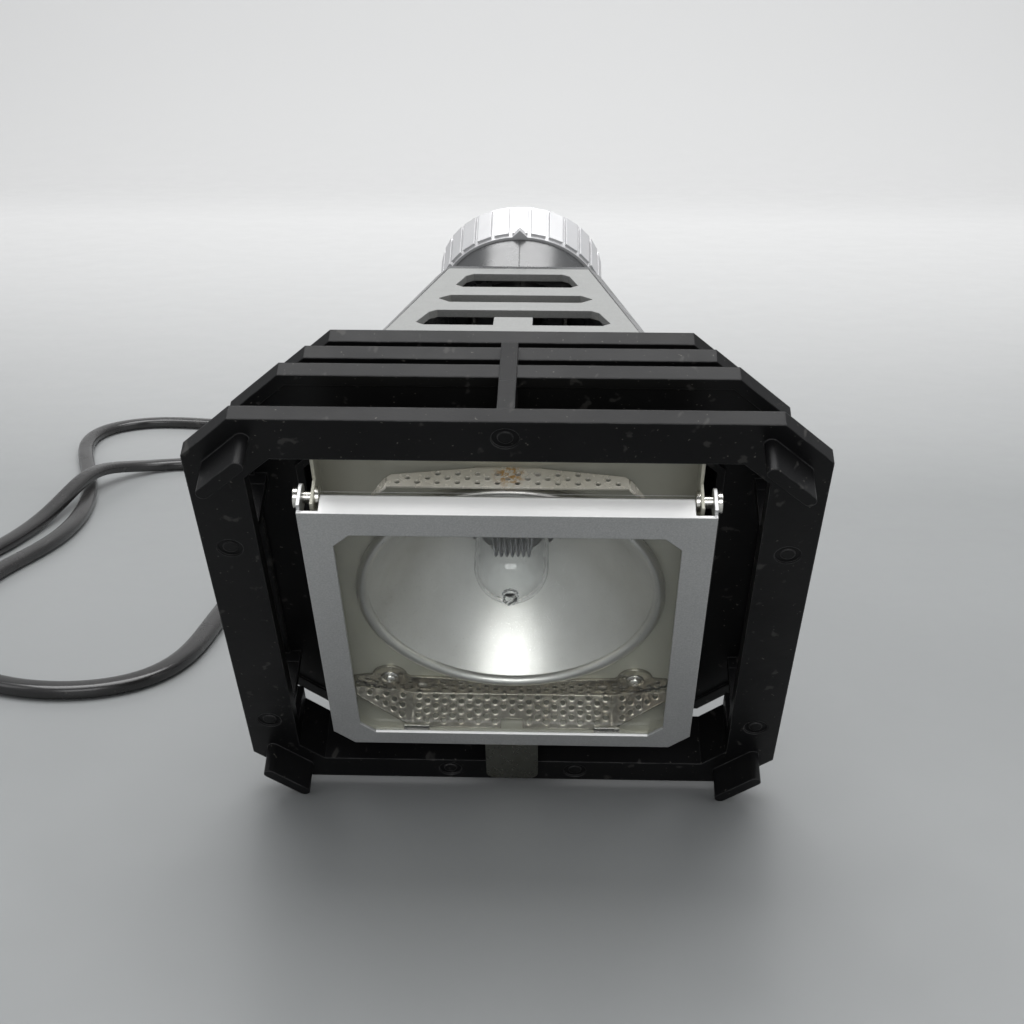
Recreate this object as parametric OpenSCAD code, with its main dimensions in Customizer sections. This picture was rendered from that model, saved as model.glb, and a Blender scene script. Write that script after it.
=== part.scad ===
// Hand-held halogen lamp for movie and photo work, standing on its front guard and grip.
// The floor is z = 0. The head is drawn in its own frame and then tilted:
// x to the right, y from the front ring back along the beam, z up across the beam.

/* [Head] */
// Downward tilt of the beam as the lamp stands
tilt = 31; // [29:0.5:33]
// Wall of the moulded rear shell
shell_t = 2.5; // [2:0.1:3.2]
// Thickness of the bent sheet metal
sheet_t = 0.8; // [0.6:0.1:1]
// Gap between flat faces of different moving pieces
face_gap = 0.3; // [0.2:0.05:0.5]
// Radial clearance of a running fit
run_gap = 0.05; // [0.03:0.01:0.09]

/* [Guard] */
// Width of the front ring
guard_w = 146; // [140:1:152]
// Height of the front ring
guard_h = 147; // [142:1:152]
// Corner cut of the front ring
guard_c = 12; // [9:0.5:15]
// Thickness of each ring along the beam
ring_t = 4.2; // [3.5:0.1:5]
// Width of the front ring's side bands
band_side = 13.4; // [11:0.1:15]
// Height of the front ring's top band
band_top = 12.7; // [10:0.1:14]
// Height of the front ring's bottom band
band_bottom = 9.1; // [7:0.1:12]
// Corner cut of the window in the front ring
window_c = 6.5; // [3:0.5:9]
// Distance from the front ring's face to the second ring's face
fin_y = 21; // [19:0.5:24]
// Step from one rear ring to the next along the beam
fin_pitch = 10.5; // [9:0.5:12]
// Width of the second ring
fin_w = 132.6; // [128:0.2:138]
// Height of the second ring above the beam axis
fin_top = 66.4; // [64:0.2:69]
// Depth of the second ring below the beam axis
fin_bottom = 67.9; // [65:0.2:70]
// Corner cut of the rear rings
fin_c = 13; // [10:0.5:15]
// Inset of each ring from the one before it
fin_step = 4.5; // [3.5:0.1:5]
// Width of the raised rim on the second ring
fin_rim = 3.2; // [2:0.2:5]
// Height that the corner lugs stand out from the front ring
lug_h = 9; // [7:0.5:11]
// Thickness of a corner lug
lug_t = 3.2; // [2.4:0.1:4]
// Length of a corner lug
lug_l = 15.5; // [13:0.5:19]

/* [Door] */
// Width of the door frame
door_w = 97; // [94:0.5:100]
// Height of the door frame above the beam axis
door_top = 45.6; // [44.6:0.1:46]
// Depth of the door frame below the beam axis
door_bottom = 51.3; // [50.4:0.1:52.5]
// Distance that the door's face stands before the front ring's face
door_out = 2.9; // [2.5:0.1:3.5]
// Corner cut at the door's bottom corners
door_c = 5.5; // [4:0.5:7]
// Width of the opening in the door
pane_w = 82; // [78:0.5:83]
// Top of the opening above the beam axis
pane_top = 37.8; // [35:0.1:38.5]
// Bottom of the opening below the beam axis
pane_bottom = 46; // [43:0.1:46.5]
// Corner cut of the opening
pane_c = 4; // [2:0.5:6]
// Thickness of the heat-proof glass
glass_t = 3; // [2.5:0.1:3.2]
// Distance of the hinge axis behind the front ring's face
hinge_y = 3.4; // [3:0.1:3.6]
// Height of the hinge axis above the beam axis
hinge_z = 44.1; // [43.8:0.1:44.4]
// Radius of the hinge rivets
rivet_r = 1.5; // [1.2:0.1:1.8]
// Width of the finger tab
tab_w = 14.5; // [10:0.5:20]
// Length of the finger tab below the door
tab_l = 17.4; // [12:0.1:18]

/* [Lamp box] */
// Width of the lamp pan
pan_w = 91; // [89:0.2:92]
// Distance of the pan's plate behind the front ring's face
pan_y = 12.5; // [12:0.1:13.5]
// Gap between the pan and the top of the front ring's window
pan_gap = 0.8; // [0.4:0.1:2]
// Depth of the pan below the beam axis
pan_bottom = 50.1; // [50:0.1:50.3]
// Radius of the reflector at its rim
mirror_r = 37; // [35:0.2:38]
// Focal length of the reflector
mirror_f = 12.6; // [12:0.1:13.5]
// Radius of the rolled rim
roll_r = 1.5; // [1:0.1:2]
// Radius of the hole for the bulb
mirror_hole = 12.5; // [11.5:0.1:13]
// Sideways place of the two screen screws and the four posts
post_x = 33.6; // [32:0.1:36]
// Distance of the screen screws and the posts above or below the beam axis
post_z = 38.5; // [37.5:0.1:40]
// Radius of the screw shanks
screw_r = 1.5; // [1.2:0.1:1.8]
// Radius of the screw heads
head_r = 2.9; // [2.4:0.1:3.3]

/* [Bulb and focus] */
// Radius of the bulb's envelope
bulb_r = 9.7; // [8.5:0.1:10.5]
// Distance of the bulb's front behind the front ring's face
bulb_y = 10.5; // [9:0.5:12]
// Length of the bulb's envelope
bulb_l = 36; // [34:0.5:38]
// Travel of the lamp holder along the beam
focus_travel = 9; // [6:0.5:10]
// Radius of the focus spindle
spindle_r = 4; // [3:0.1:5]
// Radius of the two guide rods
rod_r = 1.5; // [1.2:0.1:1.8]
// Distance of each guide rod from the beam axis
rod_x = 14; // [13:0.1:15]
// Radius of the focus ring without its ribs
focus_r = 23.7; // [23:0.1:25]
// Length of the focus ring
focus_l = 14; // [11:0.5:17]
// Height of the ribs on the focus ring
rib_h = 0.7; // [0.4:0.1:1.2]
// Number of ribs on the focus ring
rib_n = 28; // [20:1:30]
// Width of a rib on the focus ring
rib_w = 4.3; // [3:0.1:4.6]

/* [Rear shell] */
// Width of the shell at its front
shell_w_front = 71.4; // [68:0.2:76]
// Width of the shell at its rear
shell_w_rear = 46.8; // [45:0.2:50]
// Height of the vent cover's top at its front
deck_front = 55.7; // [53:0.1:57]
// Height of the vent cover's top at its rear
deck_rear = 23.4; // [23.2:0.1:25]
// Depth of the shell below the beam axis at its front
shell_low_front = 52; // [46:0.5:55]
// Depth of the shell below the beam axis at its rear
shell_low_rear = 24; // [23.5:0.1:28]
// Sideways width of the bevel along the shell's edges
bevel = 3.6; // [2.5:0.1:5]
// Thickness of the vent cover
cover_t = 2.2; // [1.6:0.1:3]
// Distance of the neck's front behind the front ring's face
neck_y = 110; // [106:0.5:114]
// Length of the neck
neck_l = 12; // [10:0.5:15]
// Radius of the neck
neck_r = 23; // [22.2:0.1:23.4]

/* [Grip] */
// Width of the grip
grip_w = 32; // [28:0.5:36]
// Depth of the grip from front to back
grip_d = 36; // [32:0.5:40]
// Corner radius of the grip
grip_c = 9; // [6:0.5:11]
// Backward rake of the grip from square to the beam
grip_rake = 10; // [6:1:14]
// Distance of the grip's front behind the front ring's face
grip_y = 72; // [68:0.5:78]
// Thickness of the butt plate
butt_t = 4; // [3:0.5:6]
// Amount that the butt plate stands proud of the grip
butt_lip = 1; // [0.5:0.1:2]
// Radius of the hole in the tripod bush
bush_bore = 2.6; // [2.4:0.1:3.2]
// Outer radius of the tripod bush
bush_r = 6; // [5:0.1:8]
// Length of the tripod bush
bush_l = 10; // [8:0.5:12]
// Travel of the rocker on the switch, in degrees
rocker_swing = 14; // [8:1:18]

/* [Cord] */
// Width of the flat cord
cord_w = 7; // [6:0.1:7.4]
// Height of the flat cord
cord_h = 4.8; // [4.2:0.1:5]
// Length of the strain relief
relief_l = 30; // [24:1:40]
// Height of the cord gland's axis above the floor
gland_z = 27; // [26:0.5:28]
// Radius of the coil at the middle of its turns
coil_r = 39; // [38:0.5:41]
// Gap between the coil's turns
coil_gap = 0.5; // [0.45:0.05:0.8]

/* [Hidden] */

big = 400;
eps = 0.02;
fine = 64;

// Front ring window
window_w = guard_w - 2 * band_side;
window_top = guard_h / 2 - band_top;
window_low = guard_h / 2 - band_bottom;
pan_top = window_top - pan_gap;
// Rear rings: the last one is the bulkhead that carries the shell
fin_n = 3;
guard_back = fin_y + (fin_n - 1) * fin_pitch + ring_t;
sleeve_w = 105;
sleeve_h = 107;
sleeve_c = 18;
sleeve_t = 2;
rear_open_w = 64;
rear_open_h = 60;
rear_open_c = 14;
post_r = 4;
clear_r = screw_r + 0.2;

// Shell outline at its two ends
shell_y = guard_back;
deck_len_y = neck_y - face_gap - shell_y;
deck_slope = atan((deck_front - deck_rear) / deck_len_y);
cover_drop = cover_t / cos(deck_slope);
deck_w_front = shell_w_front - 2 * bevel;
deck_w_rear = shell_w_rear - 2 * bevel;
end_wall_y = neck_y + neck_l - 5;
end_wall_t = 3;

// Lamp train along the beam axis
mirror_y = pan_y - roll_r;
mirror_vertex = mirror_y + mirror_r * mirror_r / (4 * mirror_f);
base_y = bulb_y + bulb_l;
base_l = 14;
base_r = 11;
holder_y = base_y + base_l;
holder_l = 19;
carriage_y = holder_y + holder_l;
carriage_l = 6;
plate_y = shell_y + 8;
plate_t = 1.5;

// The head's place: the lower lugs stand on the floor
lug_in = 4.5;
lug_corner = [guard_w / 2 - guard_c / 2, guard_h / 2 - guard_c / 2];
lug_mid = lug_corner - [1, 1] * (lug_in + lug_t / 2) / sqrt(2);
lug_foot = lug_mid[1] + (lug_l - lug_t) / 2 / sqrt(2) + lug_t / 2;
head_z = lug_foot * cos(tilt) + lug_h * sin(tilt);

// The grip's length brings its butt down to the floor
grip_z = -30;
butt_front = -butt_lip;
grip_lean = tilt + grip_rake;
grip_root = head_z + grip_y * sin(tilt) + grip_z * cos(tilt);
grip_len = (grip_root + butt_front * sin(grip_lean)) / cos(grip_lean) - butt_t;

// Ends of the lamp front and back, which centre it on the origin
head_front = -(lug_h * cos(tilt) + lug_foot * sin(tilt));
grip_root_y = grip_y * cos(tilt) - grip_z * sin(tilt);
butt_back = grip_root_y + (grip_d + butt_lip) * cos(grip_lean) + (grip_len + butt_t) * sin(grip_lean);
gland_cut = 10;
gland_y0 = butt_back - gland_cut;
head_y = -(head_front + gland_y0) / 2;
gland_y = gland_y0 + head_y;

// Points of the free cord, in millimetres from the origin, chosen by hand
cord_low = cord_h / 2;
cord_seat = 0.6;
route = [[0, 146, 25], [0, 160, 18.4], [-1, 173, 10], [-6, 187, 3.8], [-18, 200, 2.4], [-41, 208, 2.4],
    [-66, 203, 2.4], [-86, 186, 2.4], [-98, 157, 2.4], [-106, 122, 2.4], [-109, 85, 2.4], [-111, 58, 2.4],
    [-121, 38, 2.4], [-142, 29, 2.4], [-168, 33, 2.4], [-190, 49, 2.4], [-203, 75, 2.4], [-207, 106, 2.4],
    [-203, 138, 2.4], [-192, 165, 2.4], [-188, 196, 2.4], [-193, 234, 2.4], [-206, 276, 2.4], [-219, 312, 2.4],
    [-218, 342, 2.4], [-196, 359, 2.4], [-163, 354, 2.4], [-98, 339, 2.4], [-79, 315, 2.4], [-83, 286, 2.4],
    [-106, 270, 2.4], [-128, 275, 2.4], [-145.9, 281.3, 2.4], [-161.9, 283.9, 2.4], [-175.5, 279.4, 2.4],
    [-186.2, 268.4, 5.1], [-194, 254, 8.4], [-197, 236, 9], [-200, 217, 5.8], [-204, 194, 2.4],
    [-210, 164, 2.4], [-218, 143, 2.4]];
// Middle of the coil, and the turns in it, which wind in and out again in two layers
coil_x = -270;
coil_y = 125;
coil_turns = 5.5;
coil_pitch = cord_w + coil_gap;
coil_step = cord_h + coil_gap;
coil_half = coil_turns / 2;
coil_rings = 24;
coil_tail = 45;

function coil_radius(t) = coil_r + coil_pitch * (abs(t - coil_half) - coil_half / 2);
function coil_rise(t) = min(1, max(0, 2 * (t - coil_half) + 0.5));
function coil_point(t) = [
    coil_x + coil_radius(t) * cos(-360 * t),
    coil_y + coil_radius(t) * sin(-360 * t),
    cord_low + coil_step * coil_rise(t)
];
coil_start = coil_point(0) + [0, cord_w, 0];
coil_end = coil_point(coil_turns) + [0, coil_tail, 0];
coil_line = concat(
    [coil_start],
    [for (k = [0:coil_turns * coil_rings]) coil_point(k / coil_rings)],
    [coil_end]
);

// The free cord is a smooth curve that its points pull into shape
relief_end = [0, gland_y + relief_l + cord_seat, gland_z];
pull = concat([relief_end], route, [coil_start]);
pull_n = len(pull) - 1;
function pull_at(i) = i < 0 ? 2 * pull[0] - pull[1] : i > pull_n ? 2 * pull[pull_n] - pull[pull_n - 1] : pull[i];
function blend(i, t) = (pow(1 - t, 3) * pull_at(i - 1) + (3 * pow(t, 3) - 6 * pow(t, 2) + 4) * pull_at(i)
    + (-3 * pow(t, 3) + 3 * pow(t, 2) + 3 * t + 1) * pull_at(i + 1) + pow(t, 3) * pull_at(i + 2)) / 6;
function steps_of(i) = max(1, round(norm(pull_at(i + 1) - pull_at(i)) / (2.4 * cord_w)));
cord_line = concat([for (i = [0:pull_n - 1]) for (k = [0:steps_of(i) - 1]) blend(i, k / steps_of(i))], [pull[pull_n]]);

// A flat cord's outline, with eight sides on the free stretch and six in the coil
free_outline = [for (q = [[1, -0.38], [1, 0.38], [0.6, 1], [-0.6, 1], [-1, 0.38], [-1, -0.38], [-0.6, -1], [0.6, -1]])
    [q[0] * cord_w / 2, q[1] * cord_h / 2]];
coil_outline = [for (q = [[1, 0], [0.55, 1], [-0.55, 1], [-1, 0], [-0.55, -1], [0.55, -1]])
    [q[0] * cord_w / 2, q[1] * cord_h / 2]];

function unit(v) = v / norm(v);
function heading(line, i) = unit(line[min(i + 1, len(line) - 1)] - line[max(i - 1, 0)]);
function ring_at(line, i, outline) =
    let (t = heading(line, i), side = unit(cross(t, [0, 0, 1])), up = cross(side, t))
    [for (q = outline) line[i] + q[0] * side + q[1] * up];
function sum_of(list) = [for (i = 0, s = list[0]; i < len(list); i = i + 1, s = s + (i < len(list) ? list[i] : 0)) s][len(list) - 1];

// Least distance between the rings of turns that lie beside or on each other
coil_skin = [for (i = [0:len(coil_line) - 1]) ring_at(coil_line, i, coil_outline)];
coil_least = min([for (i = [0:len(coil_skin) - 1]) for (j = [i + 18:1:len(coil_skin) - 1])
    if (norm(coil_line[i] - coil_line[j]) < 2 * cord_w) min([for (a = coil_skin[i]) for (b = coil_skin[j]) norm(a - b)])]);

module swept(line, outline) {
    n = len(outline);
    last = len(line) - 1;
    points = [for (i = [0:last]) each ring_at(line, i, outline)];
    sides = [for (i = [0:last - 1]) for (k = [0:n - 1])
        let (a = i * n + k, b = i * n + (k + 1) % n) each [[a, b, b + n], [a, b + n, a + n]]];
    ends = [for (k = [1:n - 2]) each [[0, k + 1, k], [last * n, last * n + k, last * n + k + 1]]];
    polyhedron(points, concat(sides, ends), convexity = 10);
}

// Places the head's own frame on the floor
module head() translate([0, head_y, head_z]) rotate([tilt, 0, 0]) children();

// Stands an outline up facing the front, from y0 back through a depth
module upright(y0, depth) translate([0, y0 + depth, 0]) rotate([90, 0, 0]) linear_extrude(depth) children();

// A round bar along the beam
module beam_rod(r, y0, y1) translate([0, y1, 0]) rotate([90, 0, 0]) cylinder(r = r, h = y1 - y0, $fn = fine);

// A round bar across the beam
module cross_rod(r, x0, x1) translate([x0, 0, 0]) rotate([0, 90, 0]) cylinder(r = r, h = x1 - x0, $fn = fine);

// A rectangle with cut corners
module octa(w, top, low, c) polygon([
    [c - w / 2, -low], [w / 2 - c, -low], [w / 2, c - low], [w / 2, top - c],
    [w / 2 - c, top], [c - w / 2, top], [-w / 2, top - c], [-w / 2, c - low]
]);

// A rectangle with round corners
module round_rect(w, d, r) offset(r = r) square([w - 2 * r, d - 2 * r], center = true);

// A bar with round ends
module bar(l, w) {
    square([l - w, w], center = true);
    for (side = [-1, 1]) translate([side * (l - w) / 2, 0]) circle(d = w, $fn = 32);
}

// Repeats on the left and the right
module both() {
    children();
    mirror([1, 0, 0]) children();
}

// Front guard: four black octagonal rings round a sleeve, given as four parts that meet face to face
guard_split = 18;
fin_depth = 0.8;
skirt_back = 16;
skirt_t = 2.5;
web_t = 2.5;
dimple_r = 3.2;
dimples = [[0, 68.2], [66.5, 29], [-66.5, 29], [66.5, -45.4], [-66.5, -45.4], [17.7, -69], [-17.7, -69]];

module fin_outline(i) octa(fin_w - 2 * i * fin_step, fin_top - i * fin_step, fin_bottom - i * fin_step, fin_c);
module sleeve_outline(grow) octa(sleeve_w + 2 * grow, sleeve_h / 2 + grow, sleeve_h / 2 + 2 + grow, sleeve_c + grow * 0.6);

module guard_ring() difference() {
    upright(0, ring_t) difference() {
        octa(guard_w, guard_h / 2, guard_h / 2, guard_c);
        octa(window_w, window_top, window_low, window_c);
    }
    for (p = dimples) translate([p[0], 0, p[1]]) difference() {
        beam_rod(dimple_r, -1, 0.6);
        beam_rod(dimple_r * 0.55, 0.25, 1);
    }
}

module skirt() intersection() {
    upright(ring_t - eps, skirt_back - ring_t) difference() {
        octa(window_w + 2 * skirt_t, window_top, window_low + skirt_t, window_c + 1);
        octa(window_w, window_top, window_low, window_c);
    }
    translate([-big / 2, 0, -guard_h / 2]) cube([big, big, guard_h / 2 - window_low + window_c + 6]);
}

module fins() for (i = [0:fin_n - 2]) difference() {
    upright(fin_y + i * fin_pitch, ring_t) fin_outline(i);
    if (i == 0) upright(fin_y - eps, fin_depth) offset(delta = -fin_rim) fin_outline(0);
}

module centre_rib() translate([-2, 0, 0]) rotate([90, 0, 90]) linear_extrude(4) for (side = [-1, 1])
    scale([1, side]) polygon([
        [ring_t - 1, window_low + 1], [ring_t - 1, guard_h / 2 - 1],
        [fin_y + fin_pitch + ring_t, fin_top - 2.8], [fin_y + fin_pitch + ring_t, sleeve_h / 2 + 1.5], [fin_y, sleeve_h / 2 + 1.5],
        [pan_y + sheet_t + 1.2, pan_top + 0.8]
    ]);

module lugs() for (sx = [-1, 1]) for (sz = [-1, 1]) upright(-lug_h, lug_h + 1)
    translate([sx * lug_mid[0], sz * lug_mid[1]]) rotate(-45 * sx * sz) bar(lug_l, lug_t);

module low_posts(r, y0, y1) both() translate([post_x, 0, -post_z]) beam_rod(r, y0, y1);

module posts(r, y0, y1) {
    low_posts(r, y0, y1);
    mirror([0, 0, 1]) low_posts(r, y0, y1);
}

module guard_links() {
    both() for (z = [30.8, -44.2]) translate([window_w / 2 + 0.4, ring_t - 1, z - web_t / 2])
        cube([6, fin_y - ring_t + 2, web_t]);
    centre_rib();
}

module front_guard() color("#1c1c1d") head() {
    guard_ring();
    skirt();
    lugs();
    intersection() {
        guard_links();
        translate([-big / 2, guard_split - big, -big / 2]) cube(big);
    }
}

module guard_fins() color("#1c1c1d") head() difference() {
    union() {
        fins();
        intersection() {
            guard_links();
            translate([-big / 2, guard_split, -big / 2]) cube(big);
        }
    }
    upright(fin_y, guard_back) sleeve_outline(0);
}

module guard_sleeve() color("#1c1c1d") head() upright(fin_y, guard_back - ring_t - fin_y) difference() {
    sleeve_outline(0);
    sleeve_outline(-sleeve_t);
}

module guard_rear() color("#1c1c1d") head() difference() {
    union() {
        upright(guard_back - ring_t, ring_t) difference() {
            fin_outline(fin_n - 1);
            octa(rear_open_w, rear_open_h / 2, rear_open_h / 2, rear_open_c);
        }
        posts(post_r, pan_y + sheet_t, guard_back - 1);
    }
    low_posts(screw_r, 0, pan_y + 14);
    plate_holes(screw_r, guard_back - ring_t - 1, guard_back - 0.6);
    guard_holes(clear_r, guard_back - ring_t - 1, guard_back + 1);
}

// Lamp pan: a shallow tray of cream-enamelled sheet that holds the reflector
pan_front = -1;
roll_mid = mirror_r + 1;
swing_up = 2.7;
swing_back = 3.1;

module lamp_pan() color("#b9b4a0") head() difference() {
    translate([-pan_w / 2, pan_front, -pan_bottom]) cube([pan_w, pan_y + sheet_t - pan_front, pan_bottom + pan_top]);
    translate([-pan_w / 2 + sheet_t, pan_front - 1, -pan_bottom + sheet_t])
        cube([pan_w - 2 * sheet_t, pan_y - pan_front + 1, pan_bottom + pan_top - 2 * sheet_t]);
    translate([-pan_w, pan_front - 1, hinge_z + swing_up]) cube([2 * pan_w, hinge_y + swing_back - pan_front + 1, pan_top]);
    beam_rod(mirror_r + 0.8, 0, pan_y + 2);
    low_posts(clear_r, 0, pan_y + 2);
    translate([0, hinge_y, hinge_z]) cross_rod(rivet_r, -pan_w, pan_w);
}

// Reflector: a spun bowl with a rolled rim
function bowl(f, r) = r * r / (4 * f);
bowl_t = 0.7;
bowl_n = 18;

module reflector() color("#c9cac6") head() translate([0, mirror_vertex, 0]) rotate([90, 0, 0]) {
    rotate_extrude($fn = 96) polygon(concat(
        [for (k = [0:bowl_n]) let (r = mirror_hole + (mirror_r - mirror_hole) * k / bowl_n) [r, bowl(mirror_f, r)]],
        [for (k = [bowl_n:-1:0]) let (r = mirror_hole + (mirror_r - mirror_hole) * k / bowl_n) [r + bowl_t / 2, bowl(mirror_f, r) - bowl_t]]
    ));
    rotate_extrude($fn = 96) translate([roll_mid, bowl(mirror_f, mirror_r), 0]) circle(r = roll_r, $fn = 20);
}

// Perforated screens: a sloping shelf below the reflector and a flat plate above it
hole_r = 0.9;
hole_pitch = 4.7;
tray_w = 88;
tray_z = -43;
tray_drop = 27;
tray_l = 10.6;
tray_ear = 4.6;
tray_cut = 15;
tray_strip = 2.5;
rivet_x = 25;
notch_w = 6;
lid_z = 44.8;
lid_w = 66;
lid_w_back = 56.8;
lid_front = 5.8;
lid_side = 9.5;
lid_lip_w = 16;
lid_lip = 4.8;

// Rows of staggered holes through a plate that lies flat, with none but the last row's near the middle
module hole_rows(rows, width, y0, bare = 0) for (i = [0:rows - 1])
    for (x = [-hole_pitch * floor(width / 2 / hole_pitch):hole_pitch:width / 2])
        if (i == rows - 1 || bare == 0 || abs(x + (i % 2) * hole_pitch / 2) > bare)
            translate([x + (i % 2) * hole_pitch / 2, y0 + i * hole_pitch / 2, -2]) cylinder(r = hole_r, h = 4, $fn = 20);

// The shelf's frame: its fold lies on the pan's plate
module tray_frame() translate([0, pan_y - 0.2, tray_z - 0.2]) rotate([tray_drop, 0, 0]) children();

module bottom_screen() color("#77746c") head() {
    difference() {
        union() {
            upright(pan_y - sheet_t, sheet_t) {
                translate([-tray_w / 2, tray_z]) square([tray_w, tray_strip]);
                for (side = [-1, 1]) translate([side * post_x, -post_z]) circle(r = tray_ear, $fn = 40);
                for (side = [-1, 1]) translate([side * post_x - tray_ear + 0.5, tray_z]) square([2 * tray_ear - 1, -post_z - tray_z]);
            }
            tray_frame() linear_extrude(sheet_t) difference() {
                polygon([
                    [-tray_w / 2 + 0.3, 0], [-tray_w / 2 + 0.3, -3], [-tray_w / 2 + tray_cut, -tray_l],
                    [tray_w / 2 - tray_cut, -tray_l], [tray_w / 2 - 0.3, -3], [tray_w / 2 - 0.3, 0]
                ]);
                translate([-notch_w / 2, -tray_l - 1]) square([notch_w, 4]);
            }
        }
        low_posts(clear_r, 0, pan_y + 1);
        tray_frame() hole_rows(3, tray_w - 2 * tray_cut - 3, -tray_l + 2.6, notch_w / 2 + 2);
    }
    both() translate([rivet_x, 0, tray_z + tray_strip / 2]) beam_rod(1, pan_y - sheet_t - 0.5, pan_y - 0.1);
}

module top_screen() color("#8d8a80") head() {
    translate([0, 0, lid_z]) difference() {
        linear_extrude(sheet_t) polygon([
            [-lid_w / 2, lid_front], [lid_w / 2, lid_front], [lid_w_back / 2, lid_side], [lid_lip_w / 2, pan_y],
            [-lid_lip_w / 2, pan_y], [-lid_w_back / 2, lid_side]
        ]);
        hole_rows(2, lid_w - 3 * hole_pitch, lid_front + hole_pitch / 2 - 0.6);
    }
    upright(pan_y - sheet_t, sheet_t) translate([-lid_lip_w / 2, lid_z + sheet_t - lid_lip]) square([lid_lip_w, lid_lip]);
}

// A pan-head screw that points back along the beam, its head against y0
module beam_screw(y0, l) {
    difference() {
        beam_rod(head_r, y0 - 1.8, y0);
        translate([-head_r, y0 - 2, -0.4]) cube([2 * head_r, 0.9, 0.8]);
    }
    beam_rod(screw_r, y0 - eps, y0 + l);
}

module screen_screws() color("#c8c8c4") head() {
    both() translate([post_x, 0, -post_z]) beam_screw(pan_y - sheet_t, 10);
}

// Door: a bent steel frame on two rivets, with a pane of heat-proof glass
ear_r = 3.2;
side_flange = 5;
flange_past = 0.5;
pane_over = 2;
pane_room = 0.2;

module door_outline() polygon([
    [door_c - door_w / 2, -door_bottom], [door_w / 2 - door_c, -door_bottom], [door_w / 2, door_c - door_bottom],
    [door_w / 2, door_top], [-door_w / 2, door_top], [-door_w / 2, door_c - door_bottom]
]);

module door_frame() color("#b4b3ad") head() difference() {
    union() {
        upright(-door_out, sheet_t) difference() {
            door_outline();
            octa(pane_w, pane_top, pane_bottom, pane_c);
        }
        translate([-door_w / 2 + 5, -door_out, door_top - sheet_t]) cube([door_w - 10, door_out + hinge_y + flange_past, sheet_t]);
        both() translate([door_w / 2 - sheet_t, -door_out, door_c - door_bottom])
            cube([sheet_t, side_flange, door_bottom + door_top - door_c]);
        translate([door_c - door_w / 2, -door_out, -door_bottom]) cube([door_w - 2 * door_c, side_flange - 1, sheet_t]);
        both() translate([door_w / 2 - sheet_t, hinge_y, hinge_z]) cross_rod(ear_r, 0, sheet_t);
        both() translate([door_w / 2 - sheet_t, -door_out + 1, hinge_z - ear_r]) cube([sheet_t, door_out + hinge_y - 1, 2 * ear_r]);
    }
    translate([0, hinge_y, hinge_z]) cross_rod(rivet_r + run_gap, -door_w, door_w);
    translate([-2, -door_out + sheet_t, -door_bottom - 1]) cube([4, side_flange + 2, 2.5]);
}

module door_glass() color("#dfe8e6", 0.35) head() upright(-door_out + sheet_t, glass_t)
    octa(pane_w + 2 * pane_over, pane_top + pane_over, pane_bottom + pane_over, pane_c);

// Spring clips that hold the pane against the frame
clip_x = 26;
clip_w = 7;

module glass_clip(z, side) translate([-clip_w / 2, -door_out + sheet_t, z]) {
    translate([0, 0, side > 0 ? pane_room : -pane_room - 0.8]) cube([clip_w, glass_t + 0.7, 0.8]);
    translate([0, glass_t + 0.05, side > 0 ? -2.2 : -1]) cube([clip_w, 0.65, 3.2]);
}

module glass_clips() color("#a8a8a2") head() both() {
    translate([clip_x, 0, 0]) glass_clip(pane_top + pane_over, 1);
    translate([clip_x, 0, 0]) glass_clip(-pane_bottom - pane_over, -1);
}

// Finger tab: a bent tongue welded under the door's lower flange
tab_foot = 3.6;

module finger_tab() color("#aaa69a") head() {
    upright(-door_out, sheet_t) {
        translate([-tab_w / 2, -door_bottom - tab_l + 3]) square([tab_w, tab_l - 3]);
        translate([0, -door_bottom - tab_l + 3]) bar(tab_w, 6);
    }
    translate([-tab_w / 2, -door_out, -door_bottom - sheet_t]) cube([tab_w, tab_foot, sheet_t]);
}

module hinge_rivets() color("#d0cfca") head() both() translate([0, hinge_y, hinge_z]) {
    cross_rod(rivet_r, pan_w / 2 - sheet_t - 0.5, door_w / 2 + 0.3);
    cross_rod(rivet_r + 1.1, door_w / 2 + 0.2, door_w / 2 + 1.3);
    cross_rod(rivet_r + 1.1, pan_w / 2 - sheet_t - 1, pan_w / 2 - sheet_t);
}

// Bulb: a tubular halogen lamp with a domed end, on a ceramic base with two pins
glass_wall = 1.1;
tip_r = 1.6;
lead_x = 4;
lead_r = 0.45;

module bulb_envelope() color("#e6ecec", 0.3) head() difference() {
    translate([0, base_y, 0]) rotate([90, 0, 0]) rotate_extrude($fn = fine) difference() {
        union() {
            square([bulb_r, bulb_l - bulb_r]);
            translate([0, bulb_l - bulb_r]) intersection() {
                circle(r = bulb_r, $fn = fine);
                square(bulb_r);
            }
            translate([0, bulb_l - 1]) square([tip_r, 2.5]);
        }
        translate([-1, 1]) square([bulb_r - glass_wall + 1, bulb_l - bulb_r - 1]);
        translate([0, bulb_l - bulb_r]) circle(r = bulb_r - glass_wall, $fn = fine);
    }
    both() translate([lead_x, 0, 0]) beam_rod(lead_r + run_gap, base_y - 2, base_y + 1);
}

filament_y = bulb_y + 16;

module bulb_filament() color("#8c8c90") head() {
    translate([0, filament_y, 0]) cross_rod(1.3, -4.5, 4.5);
    both() translate([lead_x, 0, 0]) beam_rod(lead_r, filament_y, base_y);
    both() translate([0, filament_y, 0]) cross_rod(lead_r, lead_x - 0.1, lead_x + lead_r);
}

module bulb_base() color("#d8d4c8") head() {
    beam_rod(base_r, base_y, base_y + base_l);
}

pin_x = 4.75;
pin_r = 1;

module bulb_pins() color("#b8b4a8") head() both() translate([pin_x, 0, 0]) beam_rod(pin_r, holder_y, holder_y + 9);

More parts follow.
